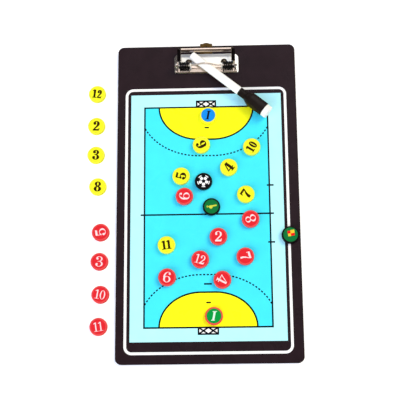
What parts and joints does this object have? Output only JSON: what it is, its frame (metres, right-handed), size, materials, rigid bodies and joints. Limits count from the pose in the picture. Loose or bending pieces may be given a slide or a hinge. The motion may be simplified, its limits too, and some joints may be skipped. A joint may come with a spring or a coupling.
{
  "type": "tactics board",
  "caption": "Magnetic handball tactics board with a printed court, sprung clip, hang tab, capped marker and round numbered counters that slide on its face.",
  "frame": {"origin": "centre of the board's flat back face, on the surface it lies on", "axes": "+X to the right across the board, +Y up the board towards the clip, +Z out of the printed face"},
  "size_m": [0.2449, 0.3792, 0.0205],
  "materials": {
    "board_black": "gloss",
    "plain_steel": "satin",
    "printed_film": "gloss",
    "bright_nickel": "polished",
    "spring_steel": "satin",
    "bronzed_steel": "satin",
    "pen_white": "gloss",
    "fibre": "matte",
    "pen_black": "satin",
    "felt_white": "matte",
    "counter_yellow": "satin",
    "counter_red": "satin",
    "counter_black": "satin",
    "ferrite": "matte"
  },
  "bodies": {
    "board": {"core_panel": "board_black", "steel_sheet": "plain_steel", "court_film": "printed_film", "clip_base": "bright_nickel", "clip_rivets": "bright_nickel", "clip_springs": "spring_steel"},
    "lever": {"clip_lever": "bright_nickel", "hinge_wire": "bright_nickel"},
    "hang_tab": {"hang_tab": "bronzed_steel"},
    "pen": {"pen_barrel": "pen_white", "pen_end_plug": "pen_white", "pen_ink_core": "fibre", "pen_nib": "fibre"},
    "pen_cap": {"pen_cap": "pen_black", "pen_eraser": "felt_white"},
    "yellow_keeper": {"yellow_keeper_cap": "counter_yellow", "yellow_keeper_magnet": "ferrite"},
    "yellow_9": {"yellow_9_cap": "counter_yellow", "yellow_9_magnet": "ferrite"},
    "yellow_10": {"yellow_10_cap": "counter_yellow", "yellow_10_magnet": "ferrite"},
    "yellow_4": {"yellow_4_cap": "counter_yellow", "yellow_4_magnet": "ferrite"},
    "yellow_5": {"yellow_5_cap": "counter_yellow", "yellow_5_magnet": "ferrite"},
    "yellow_7": {"yellow_7_cap": "counter_yellow", "yellow_7_magnet": "ferrite"},
    "yellow_11": {"yellow_11_cap": "counter_yellow", "yellow_11_magnet": "ferrite"},
    "ball": {"ball_cap": "counter_black", "ball_magnet": "ferrite"},
    "whistle": {"whistle_cap": "counter_black", "whistle_magnet": "ferrite"},
    "cards": {"cards_cap": "counter_black", "cards_magnet": "ferrite"},
    "red_9": {"red_9_cap": "counter_red", "red_9_magnet": "ferrite"},
    "red_8": {"red_8_cap": "counter_red", "red_8_magnet": "ferrite"},
    "red_2": {"red_2_cap": "counter_red", "red_2_magnet": "ferrite"},
    "red_12": {"red_12_cap": "counter_red", "red_12_magnet": "ferrite"},
    "red_7": {"red_7_cap": "counter_red", "red_7_magnet": "ferrite"},
    "red_6": {"red_6_cap": "counter_red", "red_6_magnet": "ferrite"},
    "red_4": {"red_4_cap": "counter_red", "red_4_magnet": "ferrite"},
    "red_keeper": {"red_keeper_cap": "counter_red", "red_keeper_magnet": "ferrite"},
    "yellow_12": {"yellow_12_spare": "counter_yellow"},
    "yellow_2": {"yellow_2_spare": "counter_yellow"},
    "yellow_3": {"yellow_3_spare": "counter_yellow"},
    "yellow_8": {"yellow_8_spare": "counter_yellow"},
    "red_5": {"red_5_spare": "counter_red"},
    "red_3": {"red_3_spare": "counter_red"},
    "red_10": {"red_10_spare": "counter_red"},
    "red_11": {"red_11_spare": "counter_red"}
  },
  "joints": [
    {"name": "lever_hinge", "type": "hinge", "parent": "board", "child": "lever", "pos_m": [0, 0.16, 0.0123], "axis": [-1, 0, 0], "range_deg": [0, 12], "stiffness_Nm_per_rad": 0.25, "deforming": ["clip_springs"]},
    {"name": "hang_tab_slide", "type": "slide", "parent": "board", "child": "hang_tab", "axis": [0, 1, 0], "range_m": [0, 0.012]},
    {"name": "pen_slide", "type": "slide", "parent": "lever", "child": "pen", "axis": [0.7727, -0.6347, 0], "range_m": [0, 0.045]},
    {"name": "pen_cap_pull", "type": "slide", "parent": "pen", "child": "pen_cap", "axis": [0.7727, -0.6347, 0], "range_m": [0, 0.024]},
    {"name": "yellow_keeper_slide", "type": "slide", "parent": "board", "child": "yellow_keeper", "axis": [0, 1, 0], "range_m": [-0.012, 0.028]},
    {"name": "yellow_9_slide", "type": "slide", "parent": "board", "child": "yellow_9", "axis": [-0.7071, 0.7071, 0], "range_m": [-0.012, 0.028]},
    {"name": "yellow_10_slide", "type": "slide", "parent": "board", "child": "yellow_10", "axis": [0, 1, 0], "range_m": [-0.02, 0.024]},
    {"name": "yellow_4_slide", "type": "slide", "parent": "board", "child": "yellow_4", "axis": [0, 1, 0], "range_m": [-0.008, 0.028]},
    {"name": "yellow_5_slide", "type": "slide", "parent": "board", "child": "yellow_5", "axis": [-0.7071, 0.7071, 0], "range_m": [0, 0.028]},
    {"name": "yellow_7_slide", "type": "slide", "parent": "board", "child": "yellow_7", "axis": [0.7071, 0.7071, 0], "range_m": [-0.012, 0.02]},
    {"name": "yellow_11_slide", "type": "slide", "parent": "board", "child": "yellow_11", "axis": [1, 0, 0], "range_m": [-0.028, 0.016]},
    {"name": "ball_slide", "type": "slide", "parent": "board", "child": "ball", "axis": [1, 0, 0], "range_m": [-0.002, 0.008]},
    {"name": "whistle_slide", "type": "slide", "parent": "board", "child": "whistle", "axis": [0.7071, 0.7071, 0], "range_m": [-0.028, 0.012]},
    {"name": "cards_slide", "type": "slide", "parent": "board", "child": "cards", "axis": [1, 0, 0], "range_m": [-0.028, 0]},
    {"name": "red_9_slide", "type": "slide", "parent": "board", "child": "red_9", "axis": [1, 0, 0], "range_m": [-0.028, 0.006]},
    {"name": "red_8_slide", "type": "slide", "parent": "board", "child": "red_8", "axis": [0.7071, 0.7071, 0], "range_m": [-0.01, 0.028]},
    {"name": "red_2_slide", "type": "slide", "parent": "board", "child": "red_2", "axis": [1, 0, 0], "range_m": [-0.008, 0.01]},
    {"name": "red_12_slide", "type": "slide", "parent": "board", "child": "red_12", "axis": [0, 1, 0], "range_m": [-0.028, 0.006]},
    {"name": "red_7_slide", "type": "slide", "parent": "board", "child": "red_7", "axis": [0, 1, 0], "range_m": [-0.028, 0.012]},
    {"name": "red_6_slide", "type": "slide", "parent": "board", "child": "red_6", "axis": [1, 0, 0], "range_m": [-0.028, 0.014]},
    {"name": "red_4_slide", "type": "slide", "parent": "board", "child": "red_4", "axis": [0, 1, 0], "range_m": [-0.018, 0.024]},
    {"name": "red_keeper_slide", "type": "slide", "parent": "board", "child": "red_keeper", "axis": [1, 0, 0], "range_m": [-0.028, 0.028]},
    {"name": "yellow_12_lift", "type": "slide", "parent": "board", "child": "yellow_12", "axis": [0, 0, 1], "range_m": [0, 0.03]},
    {"name": "yellow_2_lift", "type": "slide", "parent": "board", "child": "yellow_2", "axis": [0, 0, 1], "range_m": [0, 0.03]},
    {"name": "yellow_3_lift", "type": "slide", "parent": "board", "child": "yellow_3", "axis": [0, 0, 1], "range_m": [0, 0.03]},
    {"name": "yellow_8_lift", "type": "slide", "parent": "board", "child": "yellow_8", "axis": [0, 0, 1], "range_m": [0, 0.03]},
    {"name": "red_5_lift", "type": "slide", "parent": "board", "child": "red_5", "axis": [0, 0, 1], "range_m": [0, 0.03]},
    {"name": "red_3_lift", "type": "slide", "parent": "board", "child": "red_3", "axis": [0, 0, 1], "range_m": [0, 0.03]},
    {"name": "red_10_lift", "type": "slide", "parent": "board", "child": "red_10", "axis": [0, 0, 1], "range_m": [0, 0.03]},
    {"name": "red_11_lift", "type": "slide", "parent": "board", "child": "red_11", "axis": [0, 0, 1], "range_m": [0, 0.03]}
  ]
}
